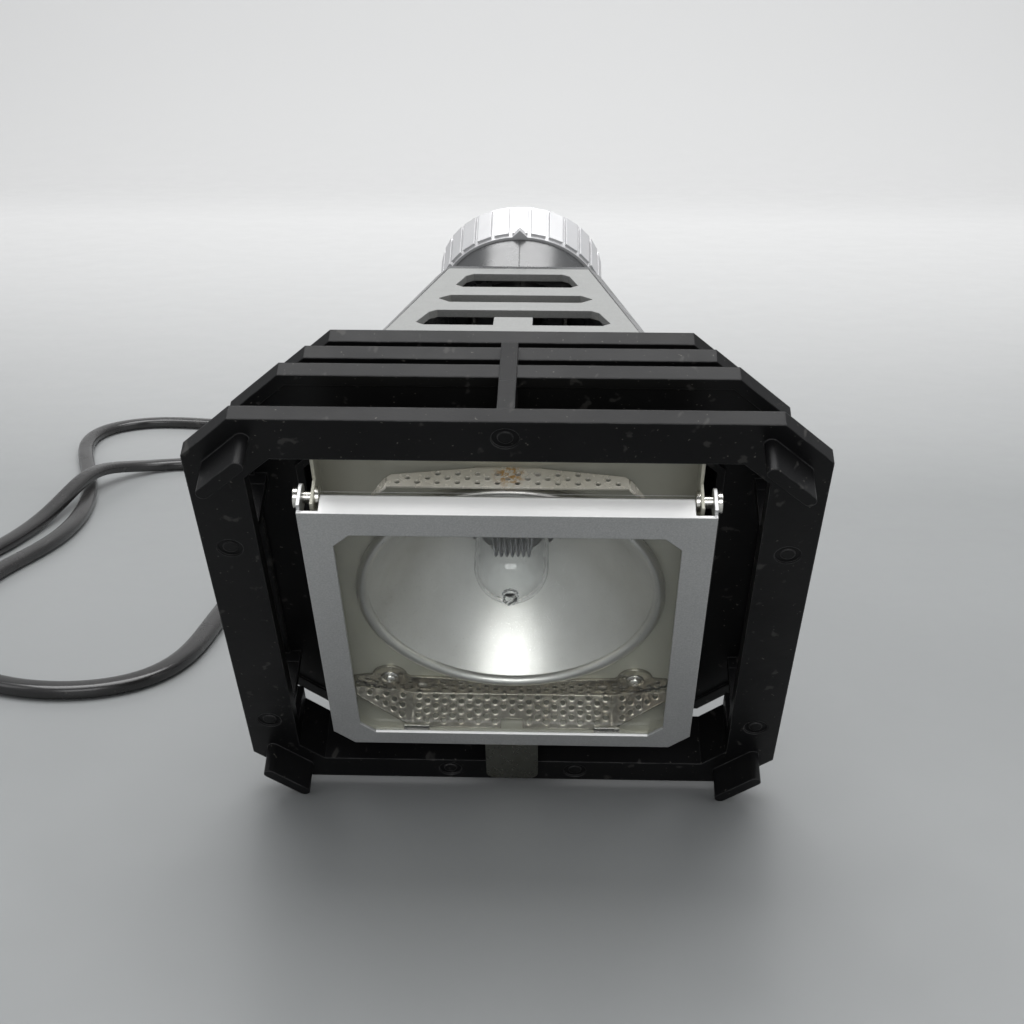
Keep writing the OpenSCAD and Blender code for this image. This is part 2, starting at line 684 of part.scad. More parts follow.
// Lamp holder and the carriage that slides on two guide rods
holder_w = 25;
holder_h = 22;
carriage_w = 36;
boss_r = 7;
boss_l = 15;
rod_end = end_wall_y;
spindle_in = 5;

module lamp_holder() color("#e4e0d4") head() difference() {
    translate([-holder_w / 2 + 1.5, holder_y, -holder_h / 2]) cube([holder_w - 3, holder_l, holder_h]);
    both() translate([pin_x, 0, 0]) beam_rod(pin_r, holder_y - 1, holder_y + 9);
}

module focus_carriage() color("#b5b7b8") head() difference() {
    union() {
        upright(carriage_y, carriage_l) round_rect(carriage_w, 24, 3);
        beam_rod(boss_r, carriage_y + carriage_l - 1, carriage_y + carriage_l + boss_l);
    }
    both() translate([rod_x, 0, 0]) beam_rod(rod_r + run_gap, carriage_y - 1, carriage_y + carriage_l + 1);
    beam_rod(spindle_r + run_gap, carriage_y + carriage_l + 0.5, carriage_y + carriage_l + boss_l + 1);
}

mount_y = guard_back - ring_t - plate_t;
mount_w = 76;
mount_h = 68;
mount_x = 34.6;
mount_z = 20;

module plate_holes(r, y0, y1) both() for (z = [-mount_z, mount_z]) translate([mount_x, 0, z]) beam_rod(r, y0, y1);

module guide_rods() color("#c6c8ca") head() both() translate([rod_x, 0, 0]) beam_rod(rod_r, mount_y, rod_end);

module mount_plate() color("#a9aaa8") head() difference() {
    upright(mount_y, plate_t) octa(mount_w, mount_h / 2, mount_h / 2, 8);
    beam_rod(base_r + 0.8, mount_y - 1, mount_y + plate_t + 1);
    both() translate([rod_x, 0, 0]) beam_rod(rod_r, mount_y - 1, mount_y + plate_t + 1);
    plate_holes(clear_r, mount_y - 1, mount_y + plate_t + 1);
}

module mount_plate_screws() color("#c8c8c4") head() both() for (z = [-mount_z, mount_z])
    translate([mount_x, 0, z]) beam_screw(mount_y, 5);

knob_y = neck_y + neck_l + face_gap;
collar_r = 7;

module focus_spindle() color("#c6c8ca") head() {
    beam_rod(spindle_r, carriage_y + carriage_l + boss_l - spindle_in, knob_y + focus_l - 3);
    beam_rod(collar_r, end_wall_y - 1.5 - face_gap, end_wall_y - face_gap);
}

module focus_ring() color("#c9c9c3") head() difference() {
    union() {
        beam_rod(focus_r, knob_y, knob_y + focus_l);
        for (k = [0:rib_n - 1]) rotate([0, 360 * k / rib_n, 0]) translate([-rib_w / 2, knob_y + 1, focus_r - 1.5])
            cube([rib_w, focus_l - 2, 1.5 + rib_h]);
        upright(knob_y, 1.6) polygon([[-3, focus_r - 1], [3, focus_r - 1], [0, focus_r + 2.4]]);
    }
    difference() {
        beam_rod(focus_r - 3, knob_y - 1, knob_y + focus_l - 3);
        beam_rod(collar_r + 2, knob_y - 2, knob_y + focus_l);
    }
    beam_rod(spindle_r, knob_y - 1, knob_y + focus_l - 3);
    beam_rod(focus_r - 4, knob_y + focus_l - 0.8, knob_y + focus_l + 1);
}

// Rear shell and grip, moulded as a left and a right half
front_wall = 2.5;
slab = 0.2;
recess_r = head_r + 0.2;
// Places of the three cross screws: one in the shell, two in the grip
cross_a = [64, -36.5];
cross_b = [28, -34];
boss_wall = 3.9;
boss_room = 7;
cross_c = [8.5, -grip_len - butt_t + bush_l + boss_wall + boss_room];

module shell_slab(y, w, top, low, c) upright(y, slab) octa(w, top, low, c);

module shell_body() hull() {
    shell_slab(shell_y, shell_w_front, deck_front, shell_low_front, bevel);
    shell_slab(neck_y - face_gap - slab, shell_w_rear, deck_rear, shell_low_rear, bevel);
}

module shell_hollow() hull() {
    shell_slab(shell_y + front_wall, shell_w_front - 2 * shell_t, deck_at(shell_y + front_wall) - cover_drop + cover_seat,
        shell_low_front - shell_t - 0.6, bevel + 3);
    shell_slab(cover_end, shell_w_rear - 2 * shell_t, deck_at(cover_end) - cover_drop + cover_seat,
        shell_low_rear - shell_t - 0.2, bevel + 3);
}

// The vent cover's block, with its underside level with the ledge, and room over it for the cut that takes it
cover_end = neck_y - face_gap - shell_t - slab;
cover_seat = 0.6;
function deck_w(y) = deck_w_front - (deck_w_front - deck_w_rear) * (y - shell_y) / (cover_end - shell_y);

module cover_slab(y, z, grow, over) upright(y, slab) translate([-deck_w(y) / 2 - grow, z - cover_drop])
    square([deck_w(y) + 2 * grow, cover_drop + over]);

module cover_block(grow, over = 0) hull() {
    cover_slab(shell_y - over, deck_at(shell_y - over), grow, over);
    cover_slab(cover_end, deck_at(cover_end + slab), grow, over);
}

function deck_at(y) = deck_front - (deck_front - deck_rear) * (y - shell_y) / deck_len_y;

module grip_frame() translate([0, grip_y, grip_z]) rotate([grip_rake, 0, 0]) children();

// A column of the grip's outline, inset by a wall, from z0 up to z1 in the grip's own frame
module grip_column(inset, z0, z1) grip_frame() translate([0, grip_d / 2, z0]) linear_extrude(z1 - z0)
    round_rect(grip_w - 2 * inset, grip_d - 2 * inset, max(grip_c - inset, 0.5));

// All of space in front of an upright plane at y, on the floor's axes
module before(y) translate([-big / 2, y - big, -big / 2]) cube(big);

neck_bore = neck_r - 3;
switch_z = -34;
switch_w = 13;
switch_h = 21;
switch_d = 16;

module shell_solid() intersection() {
    head() {
        shell_body();
        beam_rod(neck_r, neck_y - face_gap - 4, neck_y + neck_l);
        grip_column(0, -grip_len, 8);
    }
    before(gland_y);
}

module shell_space() {
    head() {
        shell_hollow();
        beam_rod(neck_bore, neck_y - 8, end_wall_y);
        beam_rod(spindle_r + run_gap, neck_y, neck_y + neck_l + 1);
        beam_rod(neck_bore, end_wall_y + end_wall_t, neck_y + neck_l + 1);
        upright(shell_y - 1, front_wall + 2) octa(rear_open_w - 8, rear_open_h / 2, rear_open_h / 2, rear_open_c);
        cover_block(face_gap / 2, 1);
        guard_holes(screw_r, shell_y - 1, shell_y + 11);
    }
    intersection() {
        head() grip_column(shell_t, -grip_len - 1, -6);
        before(gland_y - shell_t);
    }
    head() grip_frame() translate([-switch_w / 2, -1, switch_z - switch_h / 2]) cube([switch_w, shell_t + 2, switch_h]);
    translate([0, gland_y + 1, gland_z]) rotate([90, 0, 0]) cylinder(r = gland_r, h = shell_t + 2, $fn = fine);
}

// Bosses that the two halves and the front guard are screwed to
guard_x = 20;
guard_z = 43;

module guard_holes(r, y0, y1) both() for (z = [-guard_z + 1, guard_z]) translate([guard_x, 0, z]) beam_rod(r, y0, y1);

module cross_places() {
    translate([0, cross_a[0], cross_a[1]]) children();
    grip_frame() translate([0, cross_b[0], cross_b[1]]) children();
    grip_frame() translate([0, cross_c[0], cross_c[1]]) children();
}

module shell_bosses() intersection() {
    head() {
        guard_holes(boss_wall, shell_y + front_wall - 1, shell_y + 12);
        cross_places() cross_rod(boss_wall, -big / 4, big / 4);
    }
    shell_solid();
}

module shell_whole() {
    difference() {
        shell_solid();
        shell_space();
    }
    difference() {
        shell_bosses();
        head() guard_holes(screw_r, shell_y - 1, shell_y + 11);
    }
}

head_seat = [30.2, 13.6, 13.6];

module left_cuts() head() {
    translate([0, cross_a[0], cross_a[1]]) screw_cut(head_seat[0]);
    grip_frame() translate([0, cross_b[0], cross_b[1]]) screw_cut(head_seat[1]);
    grip_frame() translate([0, cross_c[0], cross_c[1]]) screw_cut(head_seat[2]);
}

cross_in = 10;
seat_open = 20;

module screw_cut(seat_x) {
    cross_rod(clear_r, -seat_x - 1, 1);
    cross_rod(recess_r, -seat_x - seat_open, -seat_x);
}

module shell_left() color("#232324") difference() {
    shell_whole();
    translate([0, -big / 2, -big / 2]) cube(big);
    left_cuts();
}

module shell_right() color("#232324") difference() {
    shell_whole();
    translate([-big, -big / 2, -big / 2]) cube(big);
    head() cross_places() cross_rod(screw_r, -1, cross_in + 0.5);
}

module cross_screw(seat_x) {
    difference() {
        cross_rod(head_r, -seat_x - 1.8, -seat_x);
        translate([-seat_x - 2, -head_r, -0.4]) cube([0.9, 2 * head_r, 0.8]);
    }
    cross_rod(screw_r, -seat_x - eps, cross_in);
}

module shell_screws() color("#c8c8c4") head() {
    translate([0, cross_a[0], cross_a[1]]) cross_screw(head_seat[0]);
    grip_frame() translate([0, cross_b[0], cross_b[1]]) cross_screw(head_seat[1]);
    grip_frame() translate([0, cross_c[0], cross_c[1]]) cross_screw(head_seat[2]);
}

module guard_screws() color("#c8c8c4") head() both() for (z = [-guard_z + 1, guard_z])
    translate([guard_x, 0, z]) beam_screw(guard_back - ring_t, ring_t + 9);

// Vent cover: a sloping panel with three louvre slots
slot_rear = [88.7, 101.7, 16.7, 14.4];
slot_mid = [74.6, 81.1, 20.3, 20.3];
slot_front = [54.9, 67.5, 24.5, 21.9];
tongue_w = 9.8;
tongue_l = 6.6;

module slot_hole(s, corner) polygon([
    [-s[2] + corner, s[0]], [s[2] - corner, s[0]], [s[2], s[0] + corner], [s[3], s[1] - corner], [s[3] - corner, s[1]],
    [corner - s[3], s[1]], [-s[3], s[1] - corner], [-s[2], s[0] + corner]
]);

module vent_cover() color("#3a3b3c") head() difference() {
    cover_block(0);
    linear_extrude(deck_front + 5) {
        slot_hole(slot_rear, 2);
        slot_hole(slot_mid, 3);
        difference() {
            slot_hole(slot_front, 2);
            translate([-tongue_w / 2, slot_front[0] - 1]) square([tongue_w, tongue_l + 1]);
        }
    }
}

// Switch: a body behind the grip's front face and a rocker that tips
bezel = 1.2;
rocker_w = 9;
rocker_h = 16;
rocker_y = 1.5;
rocker_r = 8.6;

module switch_body() color("#141415") head() grip_frame() difference() {
    union() {
        translate([-switch_w / 2, 0, switch_z - switch_h / 2]) cube([switch_w, switch_d, switch_h]);
        translate([-switch_w / 2 - 1.5, -bezel, switch_z - switch_h / 2 - 1.5]) cube([switch_w + 3, bezel, switch_h + 3]);
    }
    translate([-rocker_w / 2 - face_gap, -bezel - 1, switch_z - rocker_h / 2 - 1]) cube([rocker_w + 2 * face_gap, 11 + bezel, rocker_h + 2]);
    translate([0, rocker_y, switch_z]) cross_rod(1.2, -rocker_w / 2 - 1.3, rocker_w / 2 + 1.3);
}

module switch_rocker() color("#2c2c2e") head() grip_frame() translate([0, rocker_y, switch_z]) {
    rotate([-rocker_swing / 2, 0, 0]) difference() {
        translate([-rocker_w / 2, -4.2, -rocker_h / 2 + 0.6]) cube([rocker_w, 8, rocker_h - 1.2]);
        translate([0, -4.2 - 26.5, 0]) cross_rod(27.5, -rocker_w, rocker_w);
    }
    cross_rod(1.2 - run_gap, -rocker_w / 2 - 1.2, rocker_w / 2 + 1.2);
}

block_l = 14;
block_w = 18;
block_h = 11;
block_z = cross_c[1] + 16;
block_y = grip_d - shell_t - block_l - 0.5;

module terminal_block() color("#d9d4c6") head() grip_frame() difference() {
    translate([-block_w / 2, block_y, block_z]) cube([block_w, block_l, block_h]);
    both() translate([block_w / 4, block_y - 1, block_z + block_h / 2]) rotate([-90, 0, 0]) cylinder(r = 1.9, h = 9, $fn = 24);
}

// Butt plate with its tripod bush and two screws
bush_y = 11;
butt_screw_y = 21;

module butt_plate() color("#1c1c1d") difference() {
    intersection() {
        head() grip_column(-butt_lip, -grip_len - butt_t, -grip_len);
        before(gland_y);
    }
    head() grip_frame() {
        translate([0, bush_y, -grip_len - butt_t - 1]) cylinder(r = bush_r, h = butt_t + 2, $fn = fine);
        both() translate([9, butt_screw_y, -grip_len - butt_t - 1]) cylinder(r = clear_r, h = butt_t + 2, $fn = 32);
        both() translate([9, butt_screw_y, -grip_len - butt_t - 1]) cylinder(r = recess_r, h = 3, $fn = 32);
    }
}

module butt_screws() color("#c8c8c4") head() grip_frame() both() translate([9, butt_screw_y, -grip_len - butt_t]) {
    translate([0, 0, 0.3]) cylinder(r = head_r, h = 1.7, $fn = 32);
    cylinder(r = screw_r, h = butt_t + 6, $fn = 32);
}

module tripod_bush() color("#b08d4a") head() grip_frame() translate([0, bush_y, -grip_len - butt_t]) difference() {
    union() {
        cylinder(r = bush_r, h = bush_l, $fn = fine);
        translate([0, 0, butt_t]) cylinder(r = bush_r + 2.5, h = 2, $fn = 6);
    }
    translate([0, 0, -1]) cylinder(r = bush_bore, h = bush_l + 2, $fn = fine);
}

// Cord gland and the tapered strain relief that leaves it
gland_r = 5.6;
gland_head = 4;
relief_root = 4.5;

module gland_rod(r1, r2, y0, l) translate([0, gland_y + y0, gland_z]) rotate([-90, 0, 0]) cylinder(r1 = r1, r2 = r2, h = l, $fn = 48);

module cord_gland() color("#1c1c1d") difference() {
    union() {
        gland_rod(gland_r, gland_r, -shell_t - 3, shell_t + 3 + eps);
        gland_rod(7.8, 7.2, 0, gland_head);
    }
    gland_rod(relief_root, relief_root, -shell_t - 4, shell_t + gland_head + 5);
}

module strain_relief() color("#161617") difference() {
    union() {
        gland_rod(relief_root, relief_root, -shell_t - 2, shell_t + gland_head + 2 + eps);
        gland_rod(6.4, 4.3, gland_head, relief_l - gland_head);
    }
    for (k = [0:4]) difference() {
        gland_rod(9, 9, gland_head + 3.2 + 4.6 * k, 1.5);
        gland_rod(4.9 - 0.32 * k, 4.9 - 0.32 * k, gland_head + 3 + 4.6 * k, 2);
    }
}

module cord() color("#1b1a1a") swept(cord_line, free_outline);

module cord_coil() color("#1b1a1a") swept(coil_line, coil_outline);

// Two-pin plug that lies beside the coil
plug_w = 34;
plug_body = 33;
plug_neck = 14;
plug_pin_x = 9.5;
plug_pin_r = 2.4;
plug_pin_l = 19;
plug_bore = 8;
plug_h = 2 * coil_end[2];

module plug() color("#1b1a1a") translate([coil_end[0], coil_end[1], 0]) difference() {
    union() {
        linear_extrude(plug_h) translate([0, plug_neck + plug_body / 2]) round_rect(plug_w, plug_body, 6);
        translate([0, plug_neck + 2, plug_h / 2]) rotate([90, 0, 0]) cylinder(r1 = 7, r2 = 4.4, h = plug_neck + 2, $fn = 40);
    }
    for (side = [-1, 1]) translate([side * plug_pin_x, plug_neck + plug_body - plug_bore, plug_h / 2])
        rotate([-90, 0, 0]) cylinder(r = plug_pin_r, h = plug_bore + 1, $fn = 40);
}

module plug_pins() color("#c9b36a") translate([coil_end[0], coil_end[1], plug_h / 2]) for (side = [-1, 1])
    translate([side * plug_pin_x, plug_neck + plug_body - plug_bore, 0]) rotate([-90, 0, 0]) {
        cylinder(r = plug_pin_r, h = plug_bore + plug_pin_l - 1, $fn = 40);
        translate([0, 0, plug_bore - 1 + plug_pin_l]) cylinder(r1 = plug_pin_r, r2 = plug_pin_r - 1, h = 1, $fn = 40);
    }

echo(cord_m = sum_of([for (i = [1:len(cord_line) - 1]) norm(cord_line[i] - cord_line[i - 1])]) / 1000,
    coil_m = sum_of([for (i = [1:len(coil_line) - 1]) norm(coil_line[i] - coil_line[i - 1])]) / 1000,
    cord_rings = len(cord_line), coil_least_gap = coil_least, gland_y = gland_y, head_y = head_y, head_z = head_z);

front_guard();
guard_fins();
guard_sleeve();
guard_rear();
lamp_pan();
reflector();
top_screen();
bottom_screen();
screen_screws();
door_frame();
door_glass();
glass_clips();
finger_tab();
hinge_rivets();
bulb_envelope();
bulb_filament();
bulb_base();
bulb_pins();
lamp_holder();
focus_carriage();
guide_rods();
mount_plate();
mount_plate_screws();
focus_spindle();
focus_ring();
shell_left();
shell_right();
shell_screws();
guard_screws();
vent_cover();
switch_body();
switch_rocker();
terminal_block();
butt_plate();
butt_screws();
tripod_bush();
cord_gland();
strain_relief();
cord();
cord_coil();
plug();
plug_pins();
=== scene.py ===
import math
import bmesh
import bpy
from mathutils import Matrix, Vector, noise


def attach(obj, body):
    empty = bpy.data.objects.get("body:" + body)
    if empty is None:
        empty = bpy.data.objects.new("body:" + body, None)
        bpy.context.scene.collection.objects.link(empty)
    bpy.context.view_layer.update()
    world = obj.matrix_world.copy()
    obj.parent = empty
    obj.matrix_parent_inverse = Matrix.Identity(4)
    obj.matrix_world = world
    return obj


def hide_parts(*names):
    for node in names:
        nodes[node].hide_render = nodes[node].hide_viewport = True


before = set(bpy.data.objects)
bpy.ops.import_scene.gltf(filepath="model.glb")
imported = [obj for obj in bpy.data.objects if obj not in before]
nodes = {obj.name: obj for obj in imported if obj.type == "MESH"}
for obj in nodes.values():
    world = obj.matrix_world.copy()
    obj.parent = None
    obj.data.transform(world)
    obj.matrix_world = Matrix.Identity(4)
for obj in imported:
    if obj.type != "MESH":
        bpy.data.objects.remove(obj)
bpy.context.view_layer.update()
MM = 0.001
TILT = math.radians(31)

# The head's own frame: millimetres, y back along the beam, z up across it
HEAD = Matrix.Translation((0, -0.0583125, 0.0638959)) @ Matrix.Rotation(TILT, 4, "X")


def new_object(name, mesh, body=None, material=None, smooth=True):
    """Links a mesh as an object that rides on a body and has a finish."""
    ob = bpy.data.objects.new(name, mesh)
    bpy.context.scene.collection.objects.link(ob)
    if smooth:
        for p in mesh.polygons:
            p.use_smooth = True
    if material is not None:
        mesh.materials.append(material)
    if body is not None:
        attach(ob, body)
    return ob


def circle(r, sides, x=0, y=0):
    """Points round a circle."""
    turns = [2 * math.pi * k / sides for k in range(sides)]
    return [(x + r * math.cos(a), y + r * math.sin(a)) for a in turns]


def arc(start, stop, step):
    """Cosine and sine at each step of an arc, in whole degrees."""
    return [(math.cos(math.radians(d)), math.sin(math.radians(d))) for d in range(start, stop, step)]


# Camera at the photograph's angle
CAMERA_AT = (0.0111, -0.4326, 0.2181)
CAMERA_TURN, CAMERA_DOWN, CAMERA_ROLL = 1.61, 18.36, 0.2
cam_data = bpy.data.cameras.new("camera")
cam_data.sensor_width = 36
cam_data.lens = 56.36
camera = bpy.data.objects.new("camera", cam_data)
bpy.context.scene.collection.objects.link(camera)
camera.matrix_world = (
    Matrix.Translation(CAMERA_AT)
    @ Matrix.Rotation(math.radians(CAMERA_TURN), 4, "Z")
    @ Matrix.Rotation(math.radians(90 - CAMERA_DOWN), 4, "X")
    @ Matrix.Rotation(math.radians(CAMERA_ROLL), 4, "Z")
)
bpy.context.scene.camera = camera
bpy.context.scene.view_settings.view_transform = "Standard"


# Materials
class Tree:
    """A material's nodes, each made by one call."""

    SOCKETS = {"metal": "Metallic", "ior": "IOR", "through": "Transmission Weight",
               "spec": "Specular IOR Level"}

    def __init__(self, name, edge=0.3):
        self.mat = bpy.data.materials.new(name)
        self.mat.use_nodes = True
        self.n = self.mat.node_tree.nodes
        self.l = self.mat.node_tree.links
        self.shader = self.n["Principled BSDF"]
        self.place = self.n.new("ShaderNodeTexCoord").outputs["Object"]
        rounded = self.n.new("ShaderNodeBevel")
        rounded.samples = 6
        rounded.inputs["Radius"].default_value = edge * MM
        self.soft = rounded.outputs["Normal"]

    def link(self, a, b):
        self.l.new(a, b)

    def noise(self, scale, detail=4.0, rough=0.55, stretch=None):
        """Noise at the object's own place, stretched by three scales and turned by three angles."""
        t = self.n.new("ShaderNodeTexNoise")
        t.inputs["Scale"].default_value = scale
        t.inputs["Detail"].default_value = detail
        t.inputs["Roughness"].default_value = rough
        where = self.place
        if stretch:
            m = self.n.new("ShaderNodeMapping")
            m.inputs["Scale"].default_value = stretch[:3]
            if len(stretch) > 3:
                m.inputs["Rotation"].default_value = stretch[3:6]
            self.link(where, m.inputs["Vector"])
            where = m.outputs["Vector"]
        self.link(where, t.inputs["Vector"])
        return t.outputs["Fac"]

    def span(self, value, a, b, lo=0.0, hi=1.0):
        """Maps a to b onto lo to hi."""
        r = self.n.new("ShaderNodeMapRange")
        r.inputs["From Min"].default_value = a
        r.inputs["From Max"].default_value = b
        r.inputs["To Min"].default_value = lo
        r.inputs["To Max"].default_value = hi
        self.link(value, r.inputs["Value"])
        return r.outputs["Result"]

    def math(self, kind, a, b):
        m = self.n.new("ShaderNodeMath")
        m.operation = kind
        for k, v in enumerate((a, b)):
            if isinstance(v, (int, float)):
                m.inputs[k].default_value = v
            else:
                self.link(v, m.inputs[k])
        return m.outputs["Value"]

    def mix(self, fac, a, b):
        m = self.n.new("ShaderNodeMix")
        m.data_type = "RGBA"
        self.link(fac, m.inputs[0])
        for k, v in ((6, a), (7, b)):
            if isinstance(v, (tuple, list)):
                m.inputs[k].default_value = (*v, 1)
            else:
                self.link(v, m.inputs[k])
        return m.outputs[2]

    def edges(self):
        """White on corners, where the rounded normal leaves the flat one."""
        d = self.n.new("ShaderNodeVectorMath")
        d.operation = "DOT_PRODUCT"
        self.link(self.soft, d.inputs[0])
        self.link(self.n.new("ShaderNodeNewGeometry").outputs["Normal"], d.inputs[1])
        return self.span(d.outputs["Value"], 0.97, 0.8)

    def bump(self, height, strength, distance, normal=None):
        b = self.n.new("ShaderNodeBump")
        b.inputs["Strength"].default_value = strength
        b.inputs["Distance"].default_value = distance
        self.link(height, b.inputs["Height"])
        self.link(self.soft if normal is None else normal, b.inputs["Normal"])
        return b.outputs["Normal"]

    def finish(self, colour, rough, normal, **fixed):
        """Joins colour, roughness and normal to the shader, and sets its plain values."""
        s = self.shader.inputs
        if isinstance(colour, (tuple, list)):
            s["Base Color"].default_value = (*colour, 1)
        else:
            self.link(colour, s["Base Color"])
        self.link(rough, s["Roughness"])
        self.link(normal, s["Normal"])
        for k, v in fixed.items():
            s[self.SOCKETS[k]].default_value = v
        return self.mat


def plastic(name, dark, pale, rough, peel=0.25, dust=0.12, wear=0.25, grain=2600, grain_depth=0.00004,
            scuffs=0.5, spec=0.5):
    """Moulded black plastic: fine grain, orange peel, pale dust, scuffs and rubbed edges."""
    t = Tree(name, 0.55)
    colour = t.mix(t.span(t.noise(34, 5), 0.35, 0.7), dark, pale)
    specks = t.span(t.noise(1150, 1.5, 0.4), 0.735, 0.77, 0, dust)
    colour = t.mix(specks, colour, (0.42, 0.40, 0.35))
    scratch = t.span(t.noise(260, 2, 0.5, (1, 0.06, 1.2, 0.4, 0.3, 0.8)), 0.66, 0.72, 0, scuffs)
    colour = t.mix(t.math("MULTIPLY", scratch, 0.16), colour, (0.30, 0.29, 0.27))
    edge = t.math("MULTIPLY", t.edges(), t.span(t.noise(160, 3), 0.35, 0.7, 0.15 * wear, wear))
    colour = t.mix(edge, colour, (0.20, 0.20, 0.20))
    cloudy = t.span(t.noise(58, 4), 0.3, 0.7, rough - 0.05, rough + 0.07)
    roughness = t.math("ADD", cloudy, t.math("MULTIPLY", scratch, 0.12))
    normal = t.bump(t.noise(330, 3), peel, 0.00012)
    normal = t.bump(t.noise(grain, 2), 0.35, grain_depth, normal)
    return t.finish(colour, roughness, normal, spec=spec)


def metal(name, base, tint, rough, metallic=1.0, brushed=None, grain=3000, depth=0.00002, stain=None,
          spread=0.06):
    """Metal with a cloudy tone, fine grain or brushing, and stains given as colour, scale and strength."""
    t = Tree(name)
    colour = t.mix(t.span(t.noise(60, 5), 0.35, 0.68), base, tint)
    if stain:
        colour = t.mix(t.span(t.noise(stain[1], 5, 0.65), 0.54, 0.74, 0, stain[2]), colour, stain[0])
    lines = t.noise(grain, 3, 0.6, brushed)
    roughness = t.span(lines, 0.3, 0.7, rough - spread, rough + spread)
    return t.finish(colour, roughness, t.bump(lines, 0.3, depth), metal=metallic)


def paint(name, base, pale, rough, fleck, depth=0.00003, metallic=0.0, worn=0.5, cloud=0.25):
    """Sprayed paint: even, with a fine fleck, faint clouds, small chips and bright corners."""
    t = Tree(name, 0.4)
    grain = t.noise(fleck, 2)
    colour = t.mix(t.span(grain, 0.35, 0.66), base, pale)
    colour = t.mix(t.span(t.noise(26, 5, 0.6), 0.4, 0.75, 0, cloud), colour, tuple(0.72 * c for c in base))
    chips = t.span(t.noise(420, 3, 0.6), 0.72, 0.75, 0, 0.35)
    colour = t.mix(chips, colour, tuple(0.45 * c for c in base))
    edge = t.math("MULTIPLY", t.edges(), t.span(t.noise(180, 3), 0.3, 0.65, 0.4 * worn, worn))
    colour = t.mix(edge, colour, tuple(min(1, 1.35 * c + 0.05) for c in pale))
    roughness = t.span(t.noise(150, 3), 0.3, 0.7, rough - 0.05, rough + 0.05)
    normal = t.bump(grain, 0.35, depth)
    normal = t.bump(t.noise(240, 3), 0.12, 0.00006, normal)
    return t.finish(colour, roughness, normal, metal=metallic, spec=0.5)


# Bare bright metal with a painted highlight: the near-white values that a sheet's faces turn to where they look
# up across the beam
BARE_METAL_PAINTED_HIGHLIGHT = {"Base Color": (0.93, 0.93, 0.92, 1), "Roughness": (0.42, 0.42, 0.42, 1),
        "Metallic": (0.15, 0.15, 0.15, 1)}


def bare_top_painted_highlight(mat):
    """Bare bright metal with a painted highlight: near white where a bent sheet's faces look up across the
    beam.
    """
    n, l = mat.node_tree.nodes, mat.node_tree.links
    shader = n["Principled BSDF"]
    up = n.new("ShaderNodeVectorMath")
    up.operation = "DOT_PRODUCT"
    l.new(n.new("ShaderNodeTexCoord").outputs["Normal"], up.inputs[0])
    up.inputs[1].default_value = (0, -math.sin(TILT), math.cos(TILT))
    # The faces that look up across the beam get the painted highlight
    painted_highlight_mask = n.new("ShaderNodeMapRange")
    painted_highlight_mask.inputs["From Min"].default_value = 0.8
    painted_highlight_mask.inputs["From Max"].default_value = 0.95
    l.new(up.outputs["Value"], painted_highlight_mask.inputs["Value"])
    for name, bare_highlight_value in BARE_METAL_PAINTED_HIGHLIGHT.items():
        socket = shader.inputs[name]
        m = n.new("ShaderNodeMix")
        m.data_type = "RGBA"
        l.new(painted_highlight_mask.outputs["Result"], m.inputs[0])
        if socket.links:
            l.new(socket.links[0].from_socket, m.inputs[6])
        else:
            m.inputs[6].default_value = (socket.default_value,) * 3 + (1,)
        m.inputs[7].default_value = bare_highlight_value
        l.new(m.outputs[2], socket)


def clear(name, tone, ior, rough, haze):
    """Clear glass that lets light through to what it covers."""
    t = Tree(name)
    roughness = t.span(t.noise(90, 5), 0.4, 0.75, rough, rough + haze)
    t.finish(tone, roughness, t.bump(t.noise(40, 2), 0.08, 0.0001), through=1.0, ior=ior)
    path = t.n.new("ShaderNodeLightPath")
    tinted = t.n.new("ShaderNodeBsdfTransparent")
    tinted.inputs["Color"].default_value = (0.93, 0.95, 0.94, 1)
    join = t.n.new("ShaderNodeMixShader")
    t.link(path.outputs["Is Shadow Ray"], join.inputs["Fac"])
    t.link(t.shader.outputs["BSDF"], join.inputs[1])
    t.link(tinted.outputs["BSDF"], join.inputs[2])
    t.link(join.outputs["Shader"], t.n["Material Output"].inputs["Surface"])
    return t.mat


def enamel(name):
    """The pan's cream enamel, faintly soiled."""
    t = Tree(name)
    colour = t.mix(t.span(t.noise(30, 5), 0.35, 0.7), (0.43, 0.425, 0.36), (0.385, 0.375, 0.31))
    colour = t.mix(t.span(t.noise(90, 6, 0.65), 0.6, 0.78, 0, 0.2), colour, (0.22, 0.18, 0.11))
    roughness = t.span(t.noise(140, 3), 0.3, 0.7, 0.3, 0.44)
    return t.finish(colour, roughness, t.bump(t.noise(420, 3), 0.25, 0.0001), metal=0.25)


def ceramic(name):
    """Unglazed cream ceramic."""
    t = Tree(name)
    colour = t.mix(t.span(t.noise(80, 5), 0.35, 0.7), (0.74, 0.71, 0.62), (0.64, 0.60, 0.50))
    roughness = t.span(t.noise(300, 3), 0.3, 0.7, 0.5, 0.7)
    return t.finish(colour, roughness, t.bump(t.noise(1400, 3), 0.3, 0.00008))


def scorched(name):
    """The upper screen's steel, with a heat mark in its middle."""
    t = Tree(name)
    base = t.mix(t.span(t.noise(60, 5), 0.35, 0.68), (0.74, 0.71, 0.63), (0.64, 0.61, 0.52))
    away = t.n.new("ShaderNodeVectorMath")
    away.operation = "DISTANCE"
    t.link(t.place, away.inputs[0])
    away.inputs[1].default_value = HEAD @ (Vector((0.4, 9.8, 45.6)) * MM)
    close = t.span(away.outputs["Value"], 0.0018, 0.0046, 1, 0)
    ragged = t.span(t.noise(900, 4, 0.6), 0.44, 0.58, 0, 0.9)
    colour = t.mix(t.math("MULTIPLY", close, ragged), base, (0.50, 0.27, 0.06))
    roughness = t.span(t.noise(500, 3), 0.3, 0.7, 0.2, 0.3)
    return t.finish(colour, roughness, t.bump(t.noise(300, 3), 0.15, 0.00004), metal=0.2)


